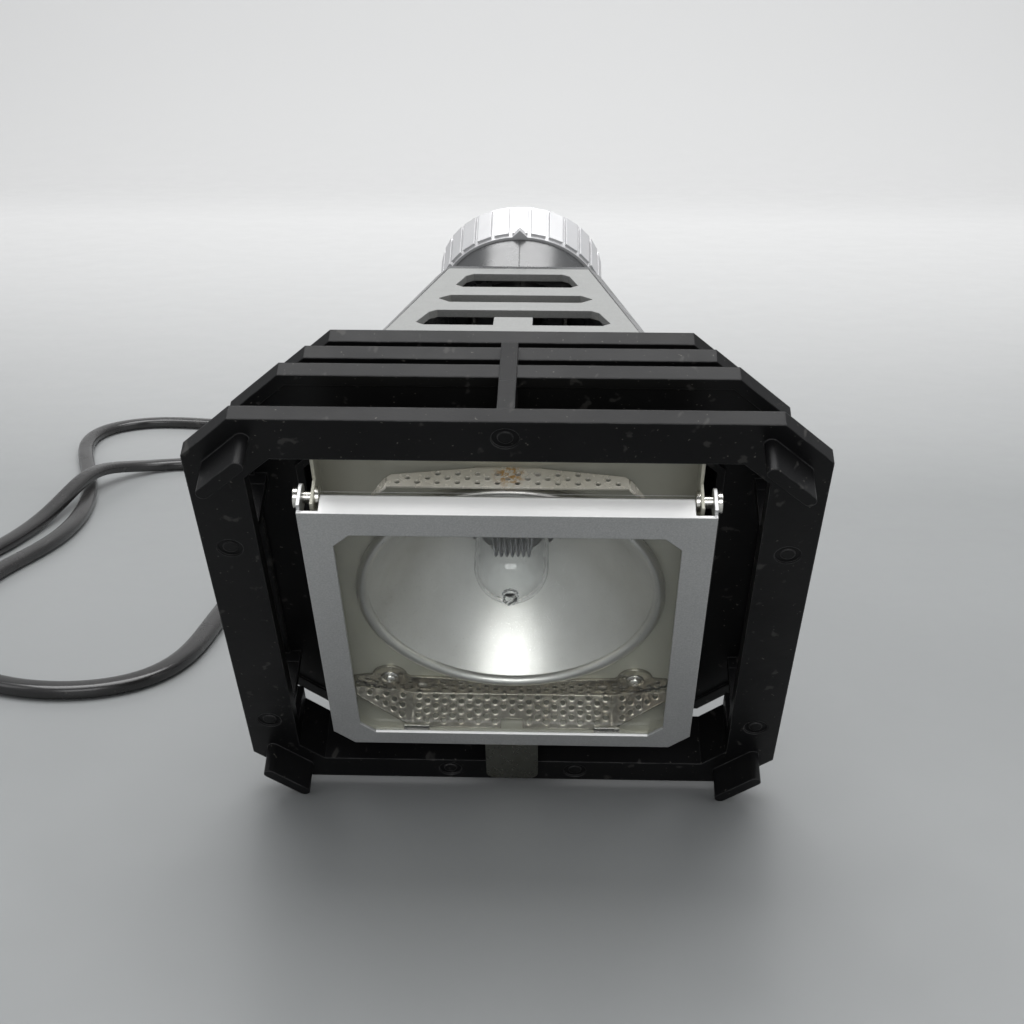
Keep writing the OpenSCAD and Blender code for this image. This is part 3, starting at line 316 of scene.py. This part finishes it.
# Looks: what makes each finish and its values, in the order that the function takes them
LOOKS = {
    "black_moulding": (plastic, (0.0035, 0.0035, 0.0038), (0.0065, 0.0065, 0.0068), 0.38,
                       {"dust": 0.16, "wear": 0.3, "spec": 0.12}),
    "shell_moulding": (plastic, (0.034, 0.035, 0.036), (0.048, 0.049, 0.050), 0.27,
                       {"peel": 0.15, "dust": 0.2, "wear": 0.1, "grain": 1500, "grain_depth": 0.00005,
                        "spec": 0.7}),
    "cord_sheath": (plastic, (0.010, 0.0095, 0.0095), (0.016, 0.015, 0.015), 0.24,
                    {"peel": 0.12, "wear": 0.0, "scuffs": 0.3}),
    "switch_plastic": (plastic, (0.010, 0.010, 0.011), (0.014, 0.014, 0.015), 0.2,
                       {"peel": 0.06, "dust": 0.1, "wear": 0.1}),
    "vent_paint": (paint, (0.19, 0.193, 0.188), (0.225, 0.228, 0.222), 0.34,
                   {"fleck": 2200, "worn": 0.3, "cloud": 0.12}),
    "door_paint": (paint, (0.40, 0.405, 0.405), (0.50, 0.505, 0.50), 0.36,
                   {"fleck": 2600, "metallic": 0.6, "worn": 0.25}),
    "screen_steel": (metal, (0.44, 0.42, 0.365), (0.33, 0.31, 0.26), 0.2,
                     {"stain": ((0.26, 0.18, 0.09), 90, 0.45), "grain": 900, "depth": 0.00005}),
    "mirror_aluminium": (metal, (0.68, 0.675, 0.65), (0.60, 0.595, 0.565), 0.36,
                         {"stain": ((0.42, 0.40, 0.34), 24, 0.5), "grain": 3200, "depth": 0.00012,
                          "spread": 0.1}),
    "plated_steel": (metal, (0.74, 0.73, 0.69), (0.64, 0.62, 0.57), 0.20,
                     {"stain": ((0.35, 0.30, 0.22), 120, 0.35)}),
    "tab_steel": (metal, (0.20, 0.20, 0.175), (0.145, 0.145, 0.125), 0.3,
                  {"stain": ((0.10, 0.085, 0.05), 160, 0.5), "grain": 500, "depth": 0.00005}),
    "sheet_steel": (metal, (0.56, 0.56, 0.55), (0.46, 0.46, 0.46), 0.34,
                    {"brushed": (1, 0.05, 1), "grain": 900}),
    "cast_alloy": (metal, (0.60, 0.61, 0.61), (0.50, 0.50, 0.50), 0.45, {"grain": 900, "depth": 0.00008}),
    "ring_alloy": (metal, (0.47, 0.47, 0.475), (0.42, 0.42, 0.425), 0.4, {"metallic": 0.2, "grain": 2200}),
    "brass": (metal, (0.70, 0.53, 0.27), (0.60, 0.44, 0.21), 0.28, {"stain": ((0.28, 0.19, 0.09), 90, 0.4)}),
    "tungsten": (metal, (0.32, 0.32, 0.33), (0.22, 0.22, 0.23), 0.4, {"grain": 4000}),
    "pane_glass": (clear, (0.985, 0.995, 0.99), 1.47, 0.0, {"haze": 0.03}),
    "bulb_glass": (clear, (0.99, 0.995, 1.0), 1.46, 0.0, {"haze": 0.02}),
    "pan_enamel": (enamel, {}),
    "ceramic": (ceramic, {}),
}
M = {name: make(name, *values, **named) for name, (make, *values, named) in LOOKS.items()}
# The door's flange: bare metal made near white by the direction its faces look, a painted highlight
bare_top_painted_highlight(M["door_paint"])

# The finish of each node that shows as the frame has it
FINISH = {
    "black_moulding": ["front_guard", "guard_fins", "guard_sleeve", "guard_rear", "butt_plate", "cord_gland"],
    "shell_moulding": ["shell_left", "shell_right"],
    "vent_paint": ["vent_cover"],
    "door_paint": ["door_frame"],
    "pan_enamel": ["lamp_pan"],
    "screen_steel": ["top_screen", "bottom_screen"],
    "mirror_aluminium": ["reflector"],
    "pane_glass": ["door_glass"],
    "bulb_glass": ["bulb_envelope"],
    "tungsten": ["bulb_filament"],
    "ceramic": ["bulb_base", "lamp_holder", "terminal_block"],
    "tab_steel": ["finger_tab"],
    "plated_steel": ["glass_clips", "hinge_rivets", "screen_screws", "guard_screws", "mount_plate_screws",
                     "shell_screws", "butt_screws", "guide_rods", "focus_spindle", "bulb_pins"],
    "sheet_steel": ["mount_plate"],
    "cast_alloy": ["focus_carriage"],
    "ring_alloy": ["focus_ring"],
    "switch_plastic": ["switch_body", "switch_rocker"],
    "brass": ["tripod_bush", "plug_pins"],
    "cord_sheath": ["strain_relief", "plug"],
}
for finish, names in FINISH.items():
    for n in names:
        ob = nodes[n]
        if not ob.material_slots:
            ob.data.materials.append(None)
        for s in ob.material_slots:
            s.link = "OBJECT"
            s.material = M[finish]


# The cord: points in millimetres from the origin, the same as in the part's source
ROUTE = [[0, 146, 25], [0, 160, 18.4], [-1, 173, 10], [-6, 187, 3.8], [-18, 200, 2.4], [-41, 208, 2.4],
         [-66, 203, 2.4], [-86, 186, 2.4], [-98, 157, 2.4], [-106, 122, 2.4], [-109, 85, 2.4], [-111, 58, 2.4],
         [-121, 38, 2.4], [-142, 29, 2.4], [-168, 33, 2.4], [-190, 49, 2.4], [-203, 75, 2.4], [-207, 106, 2.4],
         [-203, 138, 2.4], [-192, 165, 2.4], [-188, 196, 2.4], [-193, 234, 2.4], [-206, 276, 2.4],
         [-219, 312, 2.4], [-218, 342, 2.4], [-196, 359, 2.4], [-163, 354, 2.4], [-98, 339, 2.4],
         [-79, 315, 2.4], [-83, 286, 2.4], [-106, 270, 2.4], [-128, 275, 2.4], [-145.9, 281.3, 2.4],
         [-161.9, 283.9, 2.4], [-175.5, 279.4, 2.4], [-186.2, 268.4, 5.1], [-194, 254, 8.4], [-197, 236, 9],
         [-200, 217, 5.8], [-204, 194, 2.4], [-210, 164, 2.4], [-218, 143, 2.4]]
EXIT = Vector((0, 132.234, 27))
CORD_W, CORD_H = 7.0, 4.8
CORD_STEP = 3.6
COIL = Vector((-270, 125, 2.4))
COIL_STEPS, LEAD_IN, TAIL, TAIL_STEPS = 60, 7, 45, 8
TURNS, PITCH, STEP, COIL_R = 5.5, 7.5, 5.3, 39


def coil_point(t):
    """A place on the coil after t turns: inwards on the floor, then outwards on top."""
    r = COIL_R + PITCH * (abs(t - TURNS / 2) - TURNS / 4)
    a = -2 * math.pi * t
    z = COIL.z + STEP * min(1, max(0, 2 * (t - TURNS / 2) + 0.5))
    return Vector((COIL.x + r * math.cos(a), COIL.y + r * math.sin(a), z))


def cord_points():
    """The lead's line in metres: a smooth curve along the route, then the coil and its straight end."""
    start, end = coil_point(0) + Vector((0, LEAD_IN, 0)), coil_point(TURNS) + Vector((0, TAIL, 0))
    pull = [EXIT] + [Vector(p) for p in ROUTE] + [start]
    pull = [2 * pull[0] - pull[1]] + pull + [2 * pull[-1] - pull[-2]]
    pts = []
    for i in range(1, len(pull) - 2):
        a, b, c, d = pull[i - 1:i + 3]
        steps = max(2, round((c - b).length / CORD_STEP))
        for k in range(steps):
            t = k / steps
            pts.append(((1 - t) ** 3 * a + (3 * t ** 3 - 6 * t * t + 4) * b
                        + (-3 * t ** 3 + 3 * t * t + 3 * t + 1) * c + t ** 3 * d) / 6)
    pts.append(start)
    pts += [coil_point(k / COIL_STEPS) for k in range(int(TURNS * COIL_STEPS) + 1)]
    pts += [pts[-1].lerp(end, k / TAIL_STEPS) for k in range(1, TAIL_STEPS + 1)]
    return [p * MM for p in pts]


def lead_outline(sides=20, square_x=0.62, square_y=0.74, groove=0.09, groove_w=0.8):
    """A flat twin lead: two rounded cores side by side, with a shallow groove between them."""
    out = []
    for k in range(sides):
        a = 2 * math.pi * (k + 0.5) / sides
        c, s = math.cos(a), math.sin(a)
        x = math.copysign(abs(c) ** square_x, c) * CORD_W / 2
        y = math.copysign(abs(s) ** square_y, s) * CORD_H / 2
        y *= 1 - groove * math.exp(-(x / groove_w) ** 2)
        out.append((x * MM, y * MM))
    return out


def skin(bm, rings):
    """Joins closed rings into a tube with flat ends."""
    for a, b in zip(rings, rings[1:]):
        for k in range(len(a)):
            bm.faces.new((a[k], a[(k + 1) % len(a)], b[(k + 1) % len(a)], b[k]))
    bm.faces.new(rings[0][::-1])
    bm.faces.new(rings[-1])
    bmesh.ops.recalc_face_normals(bm, faces=bm.faces)
    return bm


def sweep(pts, outline, up):
    """A tube along points, its outline kept square to up."""
    bm = bmesh.new()
    rings = []
    last = len(pts) - 1
    for i, p in enumerate(pts):
        t = (pts[min(i + 1, last)] - pts[max(i - 1, 0)]).normalized()
        side = t.cross(up).normalized()
        top = side.cross(t)
        rings.append([bm.verts.new(p + side * x + top * y) for x, y in outline])
    return skin(bm, rings)


def lathe(profile, seg, jitter=None, at=(0, 0, 0)):
    """A surface of revolution about a line along the beam through at, from (radius, distance) pairs."""
    bm = bmesh.new()
    rings = []
    for r, s in profile:
        ring = []
        for x, z in circle(r, seg):
            v = Vector((x, s, z))
            if jitter:
                v = jitter(v, r)
            ring.append(bm.verts.new(HEAD @ ((v + Vector(at)) * MM)))
        rings.append(ring)
    return skin(bm, rings)


def joined(name, parts, body, material, smooth=False):
    """One mesh object from several bmeshes."""
    mesh = bpy.data.meshes.new(name)
    whole = bmesh.new()
    for bm in parts:
        m = bpy.data.meshes.new("part")
        bm.to_mesh(m)
        bm.free()
        whole.from_mesh(m)
        bpy.data.meshes.remove(m)
    whole.to_mesh(mesh)
    whole.free()
    return new_object(name, mesh, body, material, smooth)


line = cord_points()
lead = joined("cord_lead", [sweep(line, lead_outline(), Vector((0, 0, 1)))], "lamp_body",
              M["cord_sheath"], smooth=True)
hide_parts("cord", "cord_coil")

# Perforated screens: bent sheets with punched holes, in millimetres of the head's own frame
SHEET = 0.7
HOLE_SIDES, HOLE_PITCH = 14, 4.7
SMALL_HOLE, LARGE_HOLE = 0.7, 0.78
SCREW_X, SCREW_Z = 33.6, -38.5
RIVET_X, RIVET_Z = 25, -42.6
PLATE_Z = 45.2
WING_BEND, END_BEND = -16, 48
# Rings of the burr at a hole: times the hole's radius, and height over the sheet
BURR = ((1.32, 0), (1.12, 0.16), (1, 0.2), (0.93, 0.05))
UPRIGHT = Matrix.Translation((0, 12.1, 0)) @ Matrix.Rotation(math.radians(90), 4, "X")


def filled(outline, holes, r, place):
    """A flat sheet with round holes and a burr round each, as a bmesh in metres."""
    c = bpy.data.curves.new("sheet", "CURVE")
    c.dimensions = "2D"
    c.fill_mode = "BOTH"
    c.extrude = SHEET / 2
    for pts in [outline] + [circle(r, HOLE_SIDES, x, y) for x, y in holes]:
        s = c.splines.new("POLY")
        s.points.add(len(pts) - 1)
        for q, (x, y) in zip(s.points, pts):
            q.co = (x, y, 0, 1)
        s.use_cyclic_u = True
    ob = bpy.data.objects.new("sheet", c)
    bpy.context.scene.collection.objects.link(ob)
    mesh = bpy.data.meshes.new_from_object(ob.evaluated_get(bpy.context.evaluated_depsgraph_get()))
    bm = bmesh.new()
    bm.from_mesh(mesh)
    for x, y in holes:
        rings = [[bm.verts.new((*p, SHEET / 2 + z)) for p in circle(r * grow, HOLE_SIDES, x, y)]
                 for grow, z in BURR]
        for a, b in zip(rings, rings[1:]):
            for k in range(HOLE_SIDES):
                after = (k + 1) % HOLE_SIDES
                bm.faces.new((a[k], a[after], b[after], b[k])).smooth = True
    bmesh.ops.transform(bm, matrix=HEAD @ Matrix.Scale(MM, 4) @ place, verts=bm.verts)
    bpy.data.objects.remove(ob)
    bpy.data.meshes.remove(mesh)
    return bm


def lattice(inside, y0=0.0):
    """Centres of staggered holes where inside(x, y) holds."""
    rise = HOLE_PITCH / math.sqrt(3) / 2
    grid = [(i * HOLE_PITCH + (j % 2) * HOLE_PITCH / 2, y0 + j * rise)
            for i in range(-12, 13) for j in range(-36, 13)]
    return [(x, y) for x, y in grid if inside(x, y)]


def clear_of(outline, x, y, gap):
    """True where a point lies inside an outline and at least gap from its edges."""
    inside = False
    for (ax, ay), (bx, by) in zip(outline, outline[1:] + outline[:1]):
        dx, dy = bx - ax, by - ay
        k = max(0, min(1, ((x - ax) * dx + (y - ay) * dy) / (dx * dx + dy * dy)))
        if math.hypot(ax + k * dx - x, ay + k * dy - y) < gap:
            return False
        if (ay > y) != (by > y) and x < dx * (y - ay) / dy + ax:
            inside = not inside
    return inside


def bent(x, degrees):
    """Turns the end of a sheet about its fold at x."""
    fold = Matrix.Translation((x, 0, 0))
    return fold @ Matrix.Rotation(math.radians(degrees), 4, "Y") @ fold.inverted()


def screen(name, material, drop=19.8, reach=10.0, low=-46.0, wide=27.5):
    """The screen under the bowl: an upright strip with two ears, a sloping shelf and two bent wings."""
    ear_r, side_x, notch, notch_d = 4.9, 43.6, 3, 2.6
    edge_gap, screw_gap, rivet_gap = 1.25, 3.3, 2.4
    rivet = [(0.05, -0.75), (0.7, -0.7), (1.3, -0.45), (1.7, 0.0)]
    ear = [(SCREW_X + ear_r * c, SCREW_Z + ear_r * s) for c, s in arc(10, 171, 10)]
    right = [(side_x, low), (side_x, -38.4), (39.6, -37.8)] + ear + [(28.0, -38.3), (21, -38.6), (12, -39.4)]
    strip = right + [(0, -40.4)] + [(-x, y) for x, y in right[::-1]]
    holes = lattice(lambda x, y: clear_of(strip, x, y, edge_gap)
                    and math.hypot(abs(x) - SCREW_X, y - SCREW_Z) > screw_gap
                    and math.hypot(abs(x) - RIVET_X, y + 42.4) > rivet_gap, y0=-0.1)
    parts = [filled(strip, holes, SMALL_HOLE, UPRIGHT)]
    shelf = [(-wide, 0), (wide, 0), (wide, -reach), (notch, -reach), (notch, notch_d - reach),
             (-notch, notch_d - reach), (-notch, -reach), (-wide, -reach)]
    fold = Matrix.Translation((0, 12.3, low)) @ Matrix.Rotation(math.radians(drop), 4, "X")
    holes = lattice(lambda x, y: 1.5 - reach < y < -0.9 and abs(x) < wide - 1.4
                    and not (abs(x) < 4.4 and y < 4 - reach))
    parts.append(filled(shelf, holes, LARGE_HOLE, fold))
    for side in (-1, 1):
        wing = [(side * wide, 0), (side * 43.8, 0), (side * 43.8, -2.2), (side * wide, -reach)]
        holes = lattice(lambda x, y: wide + 1.2 < side * x < 42.5
                        and 1.6 - reach + (side * x - wide) * (reach - 2.2) / 16.3 < y < -1.0)
        parts.append(filled(wing, holes, LARGE_HOLE, fold @ bent(side * wide, side * WING_BEND)))
        parts.append(lathe(rivet, 20, at=(side * RIVET_X, 11.8, RIVET_Z)))
    ob = joined(name, parts, "lamp_body", material)
    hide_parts("bottom_screen")


def plate(name, material, wide=28.4, near=5.9):
    """The screen over the bowl: a flat perforated plate with its two ends bent down and a lip behind."""
    level = Matrix.Translation((0, 0, PLATE_Z))
    flat = [(-wide, near), (wide, near), (wide, 8.8), (wide - 1.0, 9.6), (8, 11.9), (-8, 11.9),
            (1.0 - wide, 9.6), (-wide, 8.8)]
    holes = lattice(lambda x, y: near + 0.9 < y < 10.9 - max(0, abs(x) - 6) * 0.09
                    and abs(x) < wide - 1.3, y0=0.4)
    parts = [filled(flat, holes, SMALL_HOLE, level)]
    for side in (-1, 1):
        end = [(side * x, y) for x, y in ((wide, near), (wide + 6.4, near), (wide + 4.6, 7.4),
                                          (wide + 0.6, 8.8), (wide, 8.8))]
        holes = lattice(lambda x, y: 1.2 < side * x - wide < 4.6
                        and near + 0.9 < y < 8.2 - 0.3 * (side * x - wide), y0=0.4)
        parts.append(filled(end, holes, SMALL_HOLE, level @ bent(side * wide, side * END_BEND)))
    parts.append(filled([(-8, 40.9), (8, 40.9), (8, 45.4), (-8, 45.4)], [], SMALL_HOLE, UPRIGHT))
    return joined(name, parts, "lamp_body", material)


def screws():
    """The two screws of the lower screen: a thin washer, a domed head with a recess, and the shank."""
    washer = [(0.05, -0.3), (2.3, -0.3), (2.5, -0.15), (2.5, 0.0)]
    dome = [(0.05, -0.75), (0.35, -0.75), (0.45, -1.3), (0.9, -1.25), (1.35, -1.05), (1.65, -0.7), (1.75, -0.3)]
    shank = [(1.4, 0.05), (1.4, 8.0), (0.6, 9.4), (0.05, 9.5)]
    parts = [lathe(profile, seg, at=(side * SCREW_X, 11.7, SCREW_Z)) for side in (-1, 1)
             for profile, seg in ((washer, 32), (dome, 32), (shank, 20))]
    ob = joined("screen_screw_heads", parts, "lamp_body", M["plated_steel"], smooth=True)
    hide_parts("screen_screws")


screen("lower_screen", M["screen_steel"])
upper = plate("upper_screen", scorched("scorched_steel"))
screws()
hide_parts("top_screen")


# Bulb: quartz tube with a domed end and a sealed-off tip, and a coiled filament on two leads
def crumple(v, rad, top=11.2):
    """Pulls the sealed-off tip out of round."""
    if v.y > top or rad > 2.5:
        return v
    w = 0.75 * min(1, (top - v.y) / 1.4)
    return v + w * Vector((noise.noise(v * 1.3), 0.6 * noise.noise(v * 1.1 + Vector((5, 0, 0))),
                           noise.noise(v * 1.2 + Vector((0, 9, 0)))))


def bulb():
    r, wall, front, back = 9.7, 1.1, 10.5, 46.5
    outer = [(1.2, 8.6), (1.7, 8.9), (1.9, 9.6), (1.75, 10.3), (2.4, 10.85)]
    outer += [(r * s, front + r - r * c) for c, s in arc(18, 91, 6)]
    outer += [(r, 24.0), (r, 34.0), (r, back)]
    inside = r - wall
    inner = [(inside, back - 1), (inside, 34.0), (inside, 24.0)]
    inner += [(inside * s, front + r - inside * c) for c, s in arc(90, 11, -6)]
    inner += [(0.9, 12.2), (0.4, 12.6)]
    ob = joined("bulb_glass", [lathe(outer + inner, 56, crumple)], "bulb_carriage",
                M["bulb_glass"], smooth=True)
    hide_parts("bulb_envelope")


def wire(pts, r):
    """A round wire along points of the head's own frame."""
    return sweep([HEAD @ (Vector(p) * MM) for p in pts], [(x * MM, y * MM) for x, y in circle(r, 8)],
                 HEAD.to_3x3() @ Vector((1, 0, 0)))


def filament():
    turns, steps, half, rad, mid = 7, 20, 5.2, 2.1, 26.5
    helix = [(2 * half * k / (turns * steps) - half, mid + rad * math.cos(2 * math.pi * k / steps),
              rad * math.sin(2 * math.pi * k / steps)) for k in range(turns * steps + 1)]
    leg = [(half, mid + rad), (half + 0.1, mid + rad + 1.5), (4.4, 33), (4.0, 38), (4.0, 46.6)]
    parts = [wire(helix, 0.3)] + [wire([(side * x, y, 0) for x, y in leg], 0.42) for side in (-1, 1)]
    ob = joined("filament_coil", parts, "bulb_carriage", M["tungsten"], smooth=True)
    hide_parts("bulb_filament")


bulb()
filament()

# Floor and backdrop in one sweep, in metres
FLOOR_START, FLOOR_END, FLOOR_DROP = -2.2, 1.3, 0.0002
BEND_R, WALL_TOP, HALF_W = 0.7, 2.6, 2.6
profile = ([(FLOOR_START, 0.0), (FLOOR_END, 0.0)]
           + [(FLOOR_END + BEND_R * s, BEND_R - BEND_R * c) for c, s in arc(6, 91, 6)]
           + [(FLOOR_END + BEND_R, WALL_TOP)])
bm = bmesh.new()
cols = [[bm.verts.new((x, y, z - FLOOR_DROP)) for y, z in profile] for x in (-HALF_W, HALF_W)]
for k in range(len(profile) - 1):
    bm.faces.new((cols[0][k], cols[1][k], cols[1][k + 1], cols[0][k + 1]))
mesh = bpy.data.meshes.new("sweep")
bm.to_mesh(mesh)
bm.free()
t = Tree("sweep")
split = t.n.new("ShaderNodeSeparateXYZ")
t.link(t.place, split.inputs[0])
floor_grey = t.mix(t.span(t.noise(3, 3), 0.3, 0.7), (0.175, 0.181, 0.182), (0.195, 0.201, 0.202))
grey = t.mix(t.span(split.outputs["Y"], 0.25, 1.1), floor_grey, (0.56, 0.56, 0.557))
t.finish(grey, t.span(t.noise(40, 3), 0.3, 0.7, 0.30, 0.38), t.bump(t.noise(600, 2), 0.05, 0.0001))
sweep_ob = new_object("sweep", mesh, material=t.mat)

# Lights: name, width and height, place, what it looks at, power
LIGHTS = [
    ("overhead", (1.5, 1.2), (0, 0.25, 1.35), (0, 0.0, 0.05), 28),
    ("left_soft", (0.9, 0.9), (-1.3, -0.5, 0.9), (0, 0, 0.08), 4),
    ("right_soft", (0.9, 0.9), (1.3, -0.4, 0.9), (0, 0, 0.08), 6),
    ("front_fill", (1.0, 0.6), (0.0, -1.5, 0.7), (0, 0, 0.08), 7),
    ("back_wash", (2.4, 0.6), (0, 0.9, 2.1), (0, 1.9, 0.5), 17),
]
for name, size, place, look, power in LIGHTS:
    d = bpy.data.lights.new(name, "AREA")
    d.shape = "RECTANGLE"
    d.size, d.size_y = size
    d.energy = power
    ob = bpy.data.objects.new(name, d)
    bpy.context.scene.collection.objects.link(ob)
    ob.location = place
    ob.rotation_mode = "QUATERNION"
    ob.rotation_quaternion = (Vector(look) - Vector(place)).to_track_quat("-Z", "Y")
world = bpy.data.worlds.new("studio")
world.use_nodes = True
world.node_tree.nodes["Background"].inputs["Color"].default_value = (0.95, 0.97, 1.0, 1)
world.node_tree.nodes["Background"].inputs["Strength"].default_value = 0.55
bpy.context.scene.world = world
